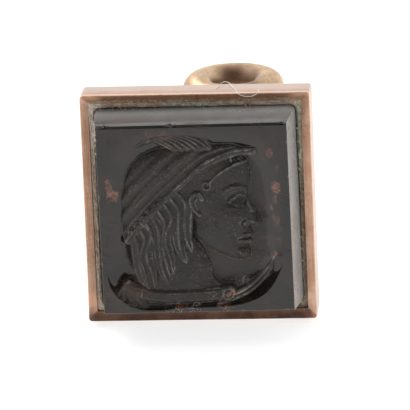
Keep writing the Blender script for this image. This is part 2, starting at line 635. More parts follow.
# The setting, lofted through rings as its solid is, with worn edges
settingLook = {
    "sideSteps": 26, "cornerSteps": 8, "cornerRadius": 0.28, "innerRadius": 0.1, "smallestRadius": 0.08,
    "bezelSlope": 0.14, "edgeRound": 0.06, "innerRound": 0.05, "wallRing": 0.9,
    "outlineRing": 12, "pyramidSteps": 26, "collarSteps": 12, "neckRoundness": 0.97,
    "wobble": 0.018, "wobbleSize": 1.6, "dents": 0.035, "dentSize": 0.7, "flare": 0.15,
    "flatRight": 0.62, "crispAngle": 38,
    "rimBack": -0.85, "backGive": 0.3, "sunken": 0.6, "bezelBack": -0.4, "frontBack": -0.6,
    "cleanFront": 0.12, "dirtyTop": 0.88, "dirtyRight": 0.6, "darkTop": 0.4, "darkBelow": 0.5,
}


def roundedRing(half, radius, z, look=settingLook):
    # counterclockwise from the top of the right side, with steps along the sides for wear
    signs = [(1, 1), (-1, 1), (-1, -1), (1, -1)]

    def onCorner(corner, turn):
        way = np.array([math.cos(turn * math.pi / 2), math.sin(turn * math.pi / 2)])
        return np.array(signs[corner % 4]) * (half - radius) + radius * way

    ring = []
    for corner in range(4):
        ring += [onCorner(corner, corner + i / look["cornerSteps"]) for i in range(look["cornerSteps"] + 1)]
        begin, end = ring[-1], onCorner(corner + 1, corner + 1)
        ring += [begin + (end - begin) * i / look["sideSteps"] for i in range(1, look["sideSteps"])]
    return np.column_stack([np.array(ring), np.full(len(ring), z)])


def settingRings(look):
    # rings from the bottom of the pocket over the rim and back to the neck, with their wear, dirt and polish
    rings = []
    values = []

    def add(insetBy, z, cornerRadius, worn=0.0, dirty=0.0, half=outerHalf, rubbed=0.0):
        rings.append(roundedRing(half - insetBy, max(cornerRadius, look["smallestRadius"]), z))
        values.append((worn, dirty, rubbed))

    wall, corner, inner = seal["rimWall"], look["cornerRadius"], look["innerRadius"]
    slope, innerRound, edgeRound = look["bezelSlope"], look["innerRound"], look["edgeRound"]
    add(wall, -seal["pocketDepth"], inner, 0, 1)
    add(wall, -look["wallRing"], inner, 0, 1)
    for i, (sine, cosine) in enumerate(quarterTurn(5)):
        away = innerRound * (1 - cosine)
        add(wall - away, -slope - innerRound * (1 - sine), inner + away, 0.3, 1 - 0.1 * i)
    for share in (0.15, 0.35, 0.55, 0.75, 0.92):
        inset = wall - innerRound - share * (wall - innerRound - edgeRound)
        add(inset, -slope * (1 - share), inner + 0.3 * share, 0.15, 0.85 - 0.8 * share)
    for i, (sine, cosine) in enumerate(quarterTurn(7)):
        away = edgeRound * (1 - sine)
        add(away, -edgeRound * (1 - cosine), corner - away, 1 - 0.1 * abs(i - 3))
    depth, lowEdge = seal["rimDepth"], seal["edgeBreak"]
    for share in (0.05, 0.12, 0.2, 0.5, 0.7, 0.9):
        worn = 0.95 if share < 0.15 else 0.25 * (1 - share)
        add(0, -share * depth, corner, worn, 0.1 * share, rubbed=min(1, 0.4 + 0.8 * share))
    for sine, cosine in quarterTurn(5):
        away = lowEdge * (1 - cosine)
        add(away, -depth + lowEdge * (1 - sine), corner - away, 0.9)
    add(0.5 * seal["plateInset"], -depth, corner, 0, 0.5)
    add(seal["plateInset"] - 0.05, -depth + 0.01, corner, 0, 1)
    add(0, -depth - 0.04, corner, 0, 1, plateHalf)
    lip, thick = seal["plateLip"], seal["plateThickness"]
    for i, (sine, cosine) in enumerate(quarterTurn(9)):
        down = lip + (thick - lip) * sine
        add(seal["plateCove"] * (1 - cosine), -depth - down, corner, 0.5 - 0.05 * i, 0.05 * i, plateHalf)
    add(-0.08, -plateBack + 0.01, 0.5, 0, 1, pyramidHalf)
    neck, foot = seal["neckRadius"], seal["footRoundness"]
    for share in np.linspace(0, 1, look["pyramidSteps"] + 1):
        half = neck + (pyramidHalf - neck) * (1 - share) ** seal["pyramidHollow"]
        radius = half.min() * (foot + (look["neckRoundness"] - foot) * ease(share))
        add(0, -plateBack - seal["pyramidLength"] * share, radius, 0.1, 0.8 * (1 - share) ** 6, half)
    for share in np.linspace(0, 1, look["collarSteps"] + 1)[1:]:
        bulge = math.sin(math.radians(seal["collarTurn"]) * share)
        radius = neck + seal["collarBulge"] * bulge
        z = -pyramidBack - seal["collarLength"] * share
        add(0, z, radius * look["neckRoundness"], bulge, 0.5 * (1 - bulge), np.array([radius] * 2))
    return rings, np.array(values)


def makeSetting():
    look = settingLook
    rings, values = settingRings(look)
    around = len(rings[0])
    vertices = np.vstack(rings)
    wear, grime, polish = np.repeat(values, around, axis=0).T
    # dents and bends of a rim that has been pushed over the stone by hand; nothing leaves the solid's box
    outline = rings[look["outlineRing"]]
    run = np.cumsum(np.linalg.norm(np.diff(outline, axis=0, append=outline[:1]), axis=1))
    run = np.tile(run, len(rings))
    z = vertices[:, 2]
    give = look["wobble"] * (1 + layeredNoise(run, z, look["wobbleSize"], 17)) / 2
    give += look["dents"] * np.clip(layeredNoise(run, z, look["dentSize"], 23) - 0.35, 0, 1)
    onRim = z > look["rimBack"]
    shrink = np.where(onRim, give, look["backGive"] * give)
    vertices[:, :2] *= (1 - shrink / np.linalg.norm(vertices[:, :2], axis=1))[:, None]
    vertices[:, 2] -= np.where(onRim, look["sunken"] * give, 0)
    # the bezel lies flatter on the right, and its front edge flares a little at the bottom
    aside = ease(vertices[:, 0] - np.abs(vertices[:, 1]))
    vertices[:, 2] *= np.where(z > look["bezelBack"], 1 - look["flatRight"] * aside, 1)
    vertices[:, 1] -= look["flare"] * ease((-vertices[:, 1] - 8.2) / 0.8) * ease((z + 2.4) / 1.6) * onRim
    # dirt and tarnish have kept to the top of the front and the upper right of it
    x, y = vertices[:, 0] / outerHalf[0], vertices[:, 1] / outerHalf[1]
    onTop = y > np.abs(x)
    below = -y > np.abs(x)
    onRight = (x > np.abs(y)) * ease((y - 0.1) / 0.5)
    front = z > look["frontBack"]
    dirty = look["cleanFront"] + look["dirtyTop"] * onTop + look["dirtyRight"] * onRight
    soot = ease((-vertices[:, 1] - 8.0) / 0.9) * ease((z + 1.2) / 0.8) * ease((8.9 - vertices[:, 0]) / 0.7)
    masks = {
        "wear": wear, "polish": polish, "soot": soot,
        "grime": grime * np.where(front, dirty, 1),
        "tarnish": np.where(front, look["darkTop"] * onTop + look["darkBelow"] * below, 0),
    }
    piece = newPiece("box_setting", vertices, loftFaces(len(rings), around), masks=masks)
    markSharp(piece, look["crispAngle"])
    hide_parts("setting")
    return piece


def markSharp(piece, angle):
    # faces that meet at a larger angle keep a crisp edge
    mesh = piece.data
    mesh.update()
    normals = np.array([face.normal for face in mesh.polygons])
    owners = {}
    for face in mesh.polygons:
        for key in face.edge_keys:
            owners.setdefault(key, []).append(face.index)
    limit = math.cos(math.radians(angle))
    for line in mesh.edges:
        pair = owners[line.key]
        line.use_edge_sharp = len(pair) == 2 and float(normals[pair[0]] @ normals[pair[1]]) < limit


# The handle: a turned stem and its loop, melted together as one casting
handleLook = {
    "stemSides": 72, "loopSides": 40, "loopSteps": 110, "grain": 0.085, "smoothing": 5,
    "hammered": 0.02, "hollowSize": 0.9, "thinning": 0.32,
    "loopWear": 0.6, "loopGrime": 0.05, "waistGrime": 0.38,
}


def turnedStem(look):
    start = settingBack + seal["seamGap"]
    foot = seal["neckRadius"] + seal["collarBulge"] * math.sin(math.radians(seal["collarTurn"]))
    waist, end = seal["waist"], seal["stemEnd"]
    profile = [
        (foot - seal["footBead"], 0), (foot + seal["footBead"], 0.035), (foot - seal["footBead"], 0.075),
        (waist + 0.2, 0.16), (seal["belly"], 0.34), (waist + 0.35, 0.56), (waist, 0.66), (seal["bead"], 0.72),
        (waist, 0.78), (end, 0.86), (end + 0.25, 0.93), (end, 1.01),
    ]
    line = smoothLine([(radius, start + share * seal["stemLength"]) for radius, share in profile], steps=8)
    angles = np.arange(look["stemSides"]) / look["stemSides"] * 2 * math.pi
    vertices = [(r * math.cos(a), r * math.sin(a), -z) for r, z in line for a in angles]
    return vertices, loftFaces(len(line), look["stemSides"])


def wireLoop(look, first):
    # a little thinner on the side towards the stem
    steps, sides = look["loopSteps"], look["loopSides"]
    vertices = []
    faces = []
    for i in range(steps):
        around = i / steps * 2 * math.pi
        wire = seal["loopWire"] - look["thinning"] * float(ease((math.sin(around) - 0.1) / 0.8))
        for j in range(sides):
            tube = j / sides * 2 * math.pi
            reach = seal["loopRadius"] + wire * math.cos(tube)
            x, z = reach * math.cos(around), reach * math.sin(around) - loopCentre
            vertices.append((x, wire * math.sin(tube), z))
        faces += ringFaces(first + i * sides, first + (i + 1) % steps * sides, sides)
    return vertices, faces


def meltTogether(vertices, faces, look):
    mesh = bpy.data.meshes.new("handleRough")
    mesh.from_pydata(vertices, [], faces)
    rough = bpy.data.objects.new("handleRough", mesh)
    scene.collection.objects.link(rough)
    melt = rough.modifiers.new("melt", "REMESH")
    melt.mode = "VOXEL"
    melt.voxel_size = look["grain"] * 1
    relax = rough.modifiers.new("relax", "SMOOTH")
    relax.iterations = look["smoothing"]
    relax.factor = 0.5
    bpy.context.view_layer.update()
    done = rough.evaluated_get(bpy.context.evaluated_depsgraph_get()).to_mesh()
    spots = np.zeros(len(done.vertices) * 3)
    done.vertices.foreach_get("co", spots)
    faces = [list(face.vertices) for face in done.polygons]
    rough.to_mesh_clear()
    bpy.data.objects.remove(rough)
    return spots.reshape(-1, 3), faces


def makeHandle():
    look = handleLook
    stem, stemFaces = turnedStem(look)
    loop, loopFaces = wireLoop(look, len(stem))
    spots, faces = meltTogether(stem + loop, stemFaces + loopFaces, look)

    # faint hollows from casting and handling, always inwards
    radius = seal["loopRadius"]
    centre = spots.copy()
    onStem = spots[:, 2] > -loopCentre + radius
    centre[onStem, :2] = 0
    spread = spots[~onStem][:, [0, 2]] + [0, loopCentre]
    spread *= (radius / np.maximum(np.linalg.norm(spread, axis=1), 1e-6))[:, None]
    centre[~onStem] = np.column_stack([spread[:, 0], np.zeros(len(spread)), spread[:, 1] - loopCentre])
    outwards = spots - centre
    reach = np.linalg.norm(outwards, axis=1)
    hollow = (1 + layeredNoise(spots[:, 0] + 2 * spots[:, 1], spots[:, 2], look["hollowSize"], 51)) / 2
    spots -= outwards / np.maximum(reach, 1e-6)[:, None] * (look["hammered"] * hollow)[:, None]

    # worn on the belly and the loop, dirty in the waists, darker inside the loop and where it meets the stem
    wear = ease((reach - seal["waist"]) / (seal["belly"] - seal["waist"]))
    wear[~onStem] = look["loopWear"]
    inWaist = 1 - ease((reach - seal["stemEnd"]) / 0.9)
    grime = np.where(onStem, look["waistGrime"] * inWaist, look["loopGrime"])
    fromEye = np.hypot(spots[:, 0], spots[:, 2] + loopCentre)
    inner = ease((radius - fromEye) / seal["loopWire"] + 0.15)
    towardsStem = ease((spots[:, 2] + loopCentre + 0.4) / 1.6)
    shade = np.maximum(ease(inner * 1.1) * ~onStem, towardsStem * ease((5.4 - fromEye) / 1.2))
    shade *= ease((2.5 - np.abs(spots[:, 0] - 0.5)) / 1.4)
    masks = {"wear": wear, "grime": grime, "shade": shade}
    piece = newPiece("turned_handle", spots, faces, masks=masks)
    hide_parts("handle")
    return piece


# Dirt and corrosion packed between the rim and the stone
gapDirt = {
    "steps": 900, "rows": 12, "level": -0.24, "lumps": 0.16, "lumpSize": 0.3, "spill": 0.3, "spillSize": 1.7,
    "bottom": -1.0, "underRim": 0.05, "underStone": 0.04, "seatGap": 0.02, "arch": 0.1, "fallsToStone": 0.32,
}


def makeGapDirt():
    look = gapDirt
    around = look["steps"]
    ring = roundedSquareLoop(around)
    along = np.arange(around) / around * 4 * seal["rimWidth"]
    # thick over the top and right sides, thin on the others
    high = ease((ring[:, 1] - 0.1) / 0.4)
    top = ease((ring[:, 1] - 0.75) / 0.2)
    right = ease((ring[:, 0] - 0.8) / 0.15) * high
    left = ease((-ring[:, 0] - 0.8) / 0.15)
    low = (1 - left) * (1 - high)
    heap = np.clip(0.9 * top + right * (1 - top), 0, 1)
    uneven = 1 + 0.4 * right * (1 - top) + 0.5 * softNoise(along, 0 * along, look["spillSize"], 61)
    spill = look["spill"] * heap * uneven
    outer = roundedSquare(ring, pocketHalf, seal["pocketCorner"], 0)[:, :2]
    outer *= (1 + (spill - 0.02) / np.linalg.norm(outer, axis=1))[:, None]
    inner = roundedSquare(ring, girdleHalf - look["underStone"], seal["girdleCorner"], 0)[:, :2]
    rings = []
    for share in np.linspace(0, 1, look["rows"]):
        spots = outer + (inner - outer) * share
        bump = layeredNoise(along + 3 * share, spots[:, 0] + spots[:, 1], look["lumpSize"], 71, 4)
        rise = look["level"] + look["lumps"] * (bump + 0.4 * (heap - 0.5))
        rise = rise + look["arch"] * heap * math.sin(math.pi * share) + 0.07 * left * (1 - top) - 0.3 * low
        onRim = ease(1.5 - 1.5 * share * seal["stoneGap"] / np.maximum(spill, 0.02))
        seat = 0.07 * bump * heap - settingLook["bezelSlope"] - look["seatGap"]
        rise = rise * (1 - onRim) + seat * onRim - look["fallsToStone"] * ease((share - 0.72) / 0.28)
        rings.append(np.column_stack([spots, rise - 0.08 * (share == 0)]))
    rings.append(np.column_stack([inner, np.full(around, look["bottom"])]))
    rings.append(roundedSquare(ring, pocketHalf + look["underRim"], seal["pocketCorner"], look["bottom"]))
    vertices = np.vstack(rings)
    faces = []
    for row in range(len(rings)):
        following = (row + 1) % len(rings)
        faces += [face[::-1] for face in ringFaces(row * around, following * around, around)]
    x, y = vertices[:, 0], vertices[:, 1]
    greenAside = 0.8 * ease((x - 7.4) / 0.8) * ease((y + 1.5) / 4)
    paleAside = 0.5 * ease((-x - 7.6) / 0.4) + 0.3 * ease((y - 7.6) / 0.4)
    masks = {
        "green": np.clip(0.2 + greenAside + 0.9 * mound(x, y, (-0.8, 8.5), (2.6, 1.6)), 0, 1),
        "pale": np.clip(paleAside + mound(x, y, (-8.0, 7.0), (1.2, 2.4)), 0, 1),
    }
    return newPiece("gap_dirt", vertices, faces, masks=masks)


def roundedSquareLoop(steps):
    # directions that reach the edge of a unit square, counterclockwise, evenly spaced on each side
    t = np.arange(steps) / steps * 4
    side = np.floor(t).astype(int)
    s = 2 * (t - side) - 1
    one = np.ones(steps)
    return np.column_stack([np.choose(side, [-s, -one, s, one]), np.choose(side, [one, -s, -one, s])])


# White crust at the top left corner of the stone, crumbs along its top and right sides, residue at its foot
crumbs = {
    "count": 150, "smallest": 0.03, "largest": 0.11, "seed": 8, "topShare": 0.6, "reach": 7.9,
    "crustSpread": 0.75, "crustCount": 46, "crustHeights": (0.2, 3.5), "rows": 5, "sides": 7,
    "residueCount": 75, "residueSize": (0.015, 0.04), "residueRise": 0.32,
    "residueAt": [(-2.7, 0.2), (-2.2, -1.2), (1.7, 2.6)],
}


def makeCrumbs():
    look = crumbs
    random = np.random.default_rng(look["seed"])
    vertices = []
    faces = []
    pale = []
    lean = seal["sideLean"] / (seal["tableHeight"] + seal["girdleDrop"])

    def addCrumb(centre, size, whiteness):
        first = len(vertices)
        rows, around = look["rows"], look["sides"]
        stretch = random.uniform(0.6, 1.2, 3)
        for i in range(rows):
            tall = math.pi * (i + 0.5) / rows
            for j in range(around):
                turn = 2 * math.pi * j / around
                r = size * random.uniform(0.75, 1.15)
                way = (math.sin(tall) * math.cos(turn), math.sin(tall) * math.sin(turn), math.cos(tall))
                vertices.append(tuple(np.array(centre) + np.array(way) * r * stretch))
                pale.append(whiteness)
        for i in range(rows - 1):
            faces.extend(ringFaces(first + i * around, first + (i + 1) * around, around))
        faces.append(list(range(first, first + around)))
        faces.append(list(range(first + rows * around - 1, first + (rows - 1) * around - 1, -1)))

    for i in range(look["count"]):
        onTop = random.random() < look["topShare"]
        where = random.uniform(-look["reach"], look["reach"])
        size = random.uniform(look["smallest"], look["largest"])
        off = pocketHalf - 0.2 + random.uniform(-0.25, 0.4, 2)
        centre = (where, off[1], -0.2) if onTop else (off[0], where, -0.2)
        addCrumb(centre, size, 0.3 * random.random())
    for i in range(look["crustCount"]):
        z = random.uniform(*look["crustHeights"])
        left = -tableHalf[0] - lean * (seal["tableHeight"] - z) + 0.02
        down = abs(random.normal(0, look["crustSpread"]))
        size = random.uniform(look["smallest"], look["largest"])
        addCrumb((left, tableHalf[1] - 0.1 - down, z), size, 0.8 + 0.2 * random.random())
    for i in range(look["residueCount"]):
        size = random.uniform(*look["residueSize"])
        across = random.uniform(*look["residueAt"][i % len(look["residueAt"])])
        up = random.uniform(0, look["residueRise"])
        addCrumb((across, -tableHalf[1] + up, seal["tableHeight"] - 0.01), size, 0.05)
    masks = {"green": [0.1] * len(vertices), "pale": pale}
    return newPiece("crumbs", vertices, faces, turn=turnStone, masks=masks)


# A curl of lint caught on the top edge
lint = {"thickness": 0.027, "sides": 6, "points": [
    (1.65, 9.12, -1.6), (1.8, 9.16, -2.3), (2.1, 9.3, -2.75), (2.5, 9.3, -2.6), (2.85, 9.16, -1.9),
    (3.15, 9.12, -1.0), (3.45, 9.08, 0.06), (3.85, 8.9, 0.12), (4.4, 8.86, 0.12), (4.8, 8.98, 0.1),
    (5.03, 9.1, -0.3), (4.95, 9.14, -0.9),
]}


def makeLint():
    path = smoothLine(lint["points"], steps=8)
    sides = lint["sides"]
    vertices = []
    for i, spot in enumerate(path):
        ahead = Vector(path[min(i + 1, len(path) - 1)] - path[max(i - 1, 0)]).normalized()
        across = ahead.orthogonal().normalized()
        other = ahead.cross(across)
        for j in range(sides):
            turn = 2 * math.pi * j / sides
            away = across * math.cos(turn) + other * math.sin(turn)
            vertices.append(tuple(Vector(spot) + lint["thickness"] * away))
    faces = [face[::-1] for face in loftFaces(len(path), sides)]
    return newPiece("lint_curl", vertices, faces)


# Nodes
class NodeSheet:
    # a node tree with short ways to add to it; its textures read spot
    def __init__(self, tree):
        self.tree = tree
        self.spot = None

    def link(self, value, socket):
        self.tree.links.new(value, socket)

    def add(self, kind, inputs, **settings):
        made = self.tree.nodes.new("ShaderNode" + kind)
        for key, value in settings.items():
            setattr(made, key, value)
        for key, value in inputs.items():
            if isinstance(value, bpy.types.NodeSocket):
                self.link(value, made.inputs[key])
            else:
                made.inputs[key].default_value = value
        return made.outputs

    def calc(self, operation, a, b=0.0, clamp=False):
        return self.add("Math", {0: a, 1: b}, operation=operation, use_clamp=clamp)[0]

    def times(self, a, b):
        return self.calc("MULTIPLY", a, b)

    def plus(self, a, b, clamp=False):
        return self.calc("ADD", a, b, clamp)

    def minus(self, a, b, clamp=False):
        return self.calc("SUBTRACT", a, b, clamp)

    def over(self, a, b):
        return self.calc("DIVIDE", a, b)

    def mix(self, factor, first, second):
        return self.add("Mix", {0: factor, 6: first, 7: second}, data_type="RGBA")[2]

    def remap(self, value, low, high, toLow=0.0, toHigh=1.0):
        inputs = {"Value": value, "From Min": low, "From Max": high, "To Min": toLow, "To Max": toHigh}
        return self.add("MapRange", inputs, interpolation_type="SMOOTHSTEP")[0]

    def mask(self, name):
        return self.add("Attribute", {}, attribute_name=name)["Fac"]

    def noise(self, scale, detail=3.0, roughness=0.55, distortion=0.0, at=None):
        inputs = {"Scale": scale, "Detail": detail, "Roughness": roughness, "Distortion": distortion}
        inputs["Vector"] = self.spot if at is None else at
        return self.add("TexNoise", inputs)[0]

    def bump(self, height, strength, distance, under=None):
        # distance in mm, laid over the normal given as under
        inputs = {"Height": height, "Strength": strength, "Distance": distance * mm}
        return self.add("Bump", inputs if under is None else inputs | {"Normal": under})[0]

    def use(self, name, inputs):
        return self.add("Group", {"Spot": self.spot} | inputs, node_tree=bpy.data.node_groups[name])

    def drift(self, tone, otherTone, size, mottle=0.3):
        inputs = {"Tone": tone, "Other Tone": otherTone, "Size": size, "Mottle": mottle}
        return self.use("colourDrift", inputs)["Color"]

    def grime(self, where, spread, size):
        return self.use("grimeCoat", {"Where": where, "Spread": spread, "Size": size})

    def scratches(self, spacing, amount=1.0):
        return self.use("fineScratches", {"Spacing": spacing, "Amount": amount})


def newGroup(name, ins, outs):
    # a group with a Spot and the inputs given, whose kinds follow their values
    group = bpy.data.node_groups.new(name, "ShaderNodeTree")
    group.interface.new_socket(name="Spot", in_out="INPUT", socket_type="NodeSocketVector")
    for label, value in ins.items():
        kind = "NodeSocketColor" if isinstance(value, tuple) else "NodeSocketFloat"
        group.interface.new_socket(name=label, in_out="INPUT", socket_type=kind).default_value = value
    for label in outs:
        kind = "NodeSocketColor" if label == "Color" else "NodeSocketFloat"
        group.interface.new_socket(name=label, in_out="OUTPUT", socket_type=kind)
    sheet = NodeSheet(group)
    given = group.nodes.new("NodeGroupInput").outputs
    sheet.spot = given["Spot"]
    return sheet, given, group.nodes.new("NodeGroupOutput").inputs


def makeColourDrift():
    # two tones that drift into each other, with a finer mottle
    tones = {"Tone": (0.5, 0.5, 0.5, 1), "Other Tone": (0.4, 0.4, 0.4, 1)}
    sheet, ins, outs = newGroup("colourDrift", tones | {"Size": 1.0, "Mottle": 0.3}, ["Color"])
    scale = sheet.over(1.0, ins["Size"])
    broad = sheet.noise(scale, 2.0)
    fine = sheet.noise(sheet.times(scale, 7.0), 4.0)
    mixed = sheet.plus(broad, sheet.times(sheet.minus(fine, 0.5), ins["Mottle"]))
    mask = sheet.remap(mixed, 0.35, 0.65)
    sheet.link(sheet.mix(mask, ins["Tone"], ins["Other Tone"]), outs["Color"])


def makeGrimeCoat():
    # broken dirt: a painted mask eaten away by noise
    sheet, ins, outs = newGroup("grimeCoat", {"Where": 0.5, "Spread": 0.5, "Size": 0.3}, ["Mask", "Height"])
    speckle = sheet.noise(sheet.over(1.0, ins["Size"]), 6.0, 0.65, 0.4)
    level = sheet.plus(sheet.times(ins["Where"], 0.9), ins["Spread"])
    mask = sheet.remap(sheet.plus(speckle, level), 0.95, 1.2)
    sheet.link(mask, outs["Mask"])
    sheet.link(sheet.times(mask, speckle), outs["Height"])


def makeFineScratches():
    # thin random scratches in three directions
    sheet, ins, outs = newGroup("fineScratches", {"Spacing": 0.4, "Amount": 0.5}, ["Mask", "Height"])
    most = 0.0
    for angle, stretch in ((0.5, 14.0), (-1.1, 11.0), (1.9, 17.0)):
        turned = sheet.add("VectorRotate", {"Vector": sheet.spot, "Angle": angle}, rotation_type="Z_AXIS")[0]
        squeeze = (1.0, 1.0 / stretch, 1.0 / stretch)
        pressed = sheet.add("VectorMath", {0: turned, 1: squeeze}, operation="MULTIPLY")[0]
        value = sheet.noise(sheet.over(1.0, ins["Spacing"]), 1.0, 0.4, at=pressed)
        away = sheet.calc("ABSOLUTE", sheet.minus(value, 0.5))
        most = sheet.calc("MAXIMUM", sheet.remap(away, 0.012, 0.0), most)
    broken = sheet.remap(sheet.noise(0.6, 2.0), 0.45, 0.62)
    mask = sheet.times(sheet.times(most, broken), ins["Amount"])
    sheet.link(mask, outs["Mask"])
    sheet.link(sheet.times(mask, -1.0), outs["Height"])


def makeFileMarks():
    # fine marks that run along each side of the square and meet in a mitre at its corners
    sheet, ins, outs = newGroup("fileMarks", {"Spacing": 0.05, "Run": 3.0}, ["Height"])
    parts = sheet.add("SeparateXYZ", {0: sheet.spot})
    offX, offY = (sheet.calc("ABSOLUTE", part) for part in (parts[0], parts[1]))
    sideways = sheet.calc("GREATER_THAN", offY, offX)
    fine = sheet.over(1.0, ins["Spacing"])
    slow = sheet.over(1.0, ins["Run"])
    heights = []
    for along, across in ((0, 1), (1, 0)):
        spot = sheet.add("CombineXYZ", {
            0: sheet.times(parts[along], slow), 1: sheet.times(parts[across], fine),
            2: sheet.times(parts[2], fine),
        })[0]
        heights.append(sheet.noise(1.0, 3.0, 0.6, at=spot))
    chosen = sheet.add("Mix", {0: sideways, 2: heights[1], 3: heights[0]}, data_type="FLOAT")[0]
    sheet.link(chosen, outs["Height"])


def makeDustSpecks():
    # scattered specks, each in one cell of a cell pattern
    sheet, ins, outs = newGroup("dustSpecks", {"Spacing": 0.3, "Share": 0.3, "Radius": 0.2}, ["Mask"])
    cells = sheet.add("TexVoronoi", {"Vector": sheet.spot, "Scale": sheet.over(1.0, ins["Spacing"])})
    chance = sheet.add("SeparateColor", {0: cells["Color"]})[0]
    chosen = sheet.calc("LESS_THAN", chance, ins["Share"])
    size = sheet.over(cells["Distance"], ins["Radius"])
    sheet.link(sheet.times(chosen, sheet.remap(size, 1.0, 0.4)), outs["Mask"])


makeColourDrift()
makeGrimeCoat()
makeFineScratches()
makeFileMarks()
makeDustSpecks()


def newMaterial(name, plain, onSeal=True):
    # plain values go on the shader's own sockets
    material = bpy.data.materials.new(name)
    material.use_nodes = True
    shader = material.node_tree.nodes["Principled BSDF"].inputs
    for key, value in plain.items():
        shader[key].default_value = value
    sheet = NodeSheet(material.node_tree)
    if onSeal:
        sheet.spot = sheet.add("Attribute", {}, attribute_name="sealSpot")["Vector"]
    else:
        sheet.spot = sheet.add("TexCoord", {})["Object"]
    return material, sheet, shader


stoneLook = {
    "dark": (0.0095, 0.0085, 0.0065, 1), "brown": (0.021, 0.013, 0.009, 1), "dust": (0.09, 0.085, 0.075, 1),
    "amber": (0.40, 0.18, 0.11, 1), "amberDark": (0.12, 0.055, 0.045, 1), "worn": (0.44, 0.42, 0.37, 1),
    "speck": (0.42, 0.40, 0.36, 1), "film": (0.42, 0.42, 0.41, 1),
    "drift": 2.6, "glowDrift": 0.4, "creaseDust": 0.25, "ridgeWhite": 0.7,
    "specks": 0.45, "speckSpacing": 0.16,
    "polished": 0.04, "smeared": 0.14, "matt": 0.45, "stainMatt": 0.25, "filmMatt": 0.3, "scratchMatt": 0.25,
    "grain": 0.06, "grainBump": 0.5, "grainDepth": 0.02, "scratchBump": 0.3, "scratchDepth": 0.01,
}


def stoneMaterial():
    look = stoneLook
    material, sheet, shader = newMaterial("darkSard", {"IOR": 1.5, "Specular IOR Level": 0.5})
    matt, stain, haze = sheet.mask("matt"), sheet.mask("stain"), sheet.mask("haze")
    body = sheet.drift(look["dark"], look["brown"], look["drift"])
    creases = sheet.grime(sheet.mask("cavity"), 0.0, 0.35)["Mask"]
    colour = sheet.mix(sheet.times(creases, look["creaseDust"]), body, look["dust"])
    # worn, chipped ridges and caught dust
    broken = sheet.remap(sheet.noise(1.1, 5.0, 0.7), 0.45, 0.6, 0.25, 1.0)
    worn = sheet.times(sheet.mask("ridge"), broken)
    colour = sheet.mix(sheet.times(worn, look["ridgeWhite"]), colour, look["worn"])
    specks = sheet.use("dustSpecks", {"Spacing": look["speckSpacing"], "Share": 0.3, "Radius": 0.3})["Mask"]
    patchy = sheet.remap(sheet.noise(0.6, 4.0), 0.38, 0.66)
    speckled = sheet.times(specks, sheet.times(patchy, matt))
    colour = sheet.mix(sheet.times(speckled, look["specks"]), colour, look["speck"])
    film = sheet.times(haze, sheet.remap(sheet.noise(0.7, 3.0), 0.2, 0.8, 0.85, 1.0))
    colour = sheet.mix(film, colour, look["film"])
    glow = sheet.drift(look["amber"], look["amberDark"], look["glowDrift"], mottle=0.8)
    glowing = sheet.times(stain, sheet.remap(sheet.noise(2.5, 5.0, 0.7), 0.35, 0.6, 0.35, 1.0))
    sheet.link(sheet.mix(glowing, colour, glow), shader["Base Color"])
    # polished but smeared, and rougher in the carving, on stains, under film and along scratches
    scratches = sheet.scratches(1.1, sheet.minus(1.0, sheet.times(haze, 4.0), True))
    smears = sheet.remap(sheet.noise(0.45, 4.0, 0.6, 0.5), 0.4, 0.75, look["polished"], look["smeared"])
    rough = sheet.plus(sheet.times(matt, look["matt"]), smears)
    for mask, key in ((stain, "stainMatt"), (film, "filmMatt"), (scratches["Mask"], "scratchMatt")):
        rough = sheet.plus(rough, sheet.times(mask, look[key]), True)
    sheet.link(rough, shader["Roughness"])
    grain = sheet.times(sheet.noise(1 / look["grain"], 3.0, 0.7), matt)
    normal = sheet.bump(grain, look["grainBump"], look["grainDepth"])
    normal = sheet.bump(scratches["Height"], look["scratchBump"], look["scratchDepth"], normal)
    sheet.link(normal, shader["Normal"])
    return material


settingColours = {
    "rose": (0.52, 0.30, 0.205, 1), "pale": (0.60, 0.385, 0.28, 1), "brown": (0.25, 0.115, 0.06, 1),
    "worn": (0.80, 0.55, 0.40, 1), "dirt": (0.42, 0.30, 0.20, 1), "green": (0.36, 0.34, 0.24, 1),
    "rubbed": (0.60, 0.47, 0.39, 1), "soot": (0.07, 0.04, 0.032, 1),
    "drift": 2.2, "rubbedShare": 0.85, "rubbedClean": 0.7, "edgeShare": 0.8,
    "markSpacing": 0.12, "markRun": 3.0, "markTint": 0.32,
    "roughness": 0.3, "tarnishMatt": 0.25, "dirtMatt": 0.5,
    "markBump": 0.5, "scratchBump": 0.15, "fineDepth": 0.02, "dirtBump": 0.9, "dirtDepth": 0.08,
}


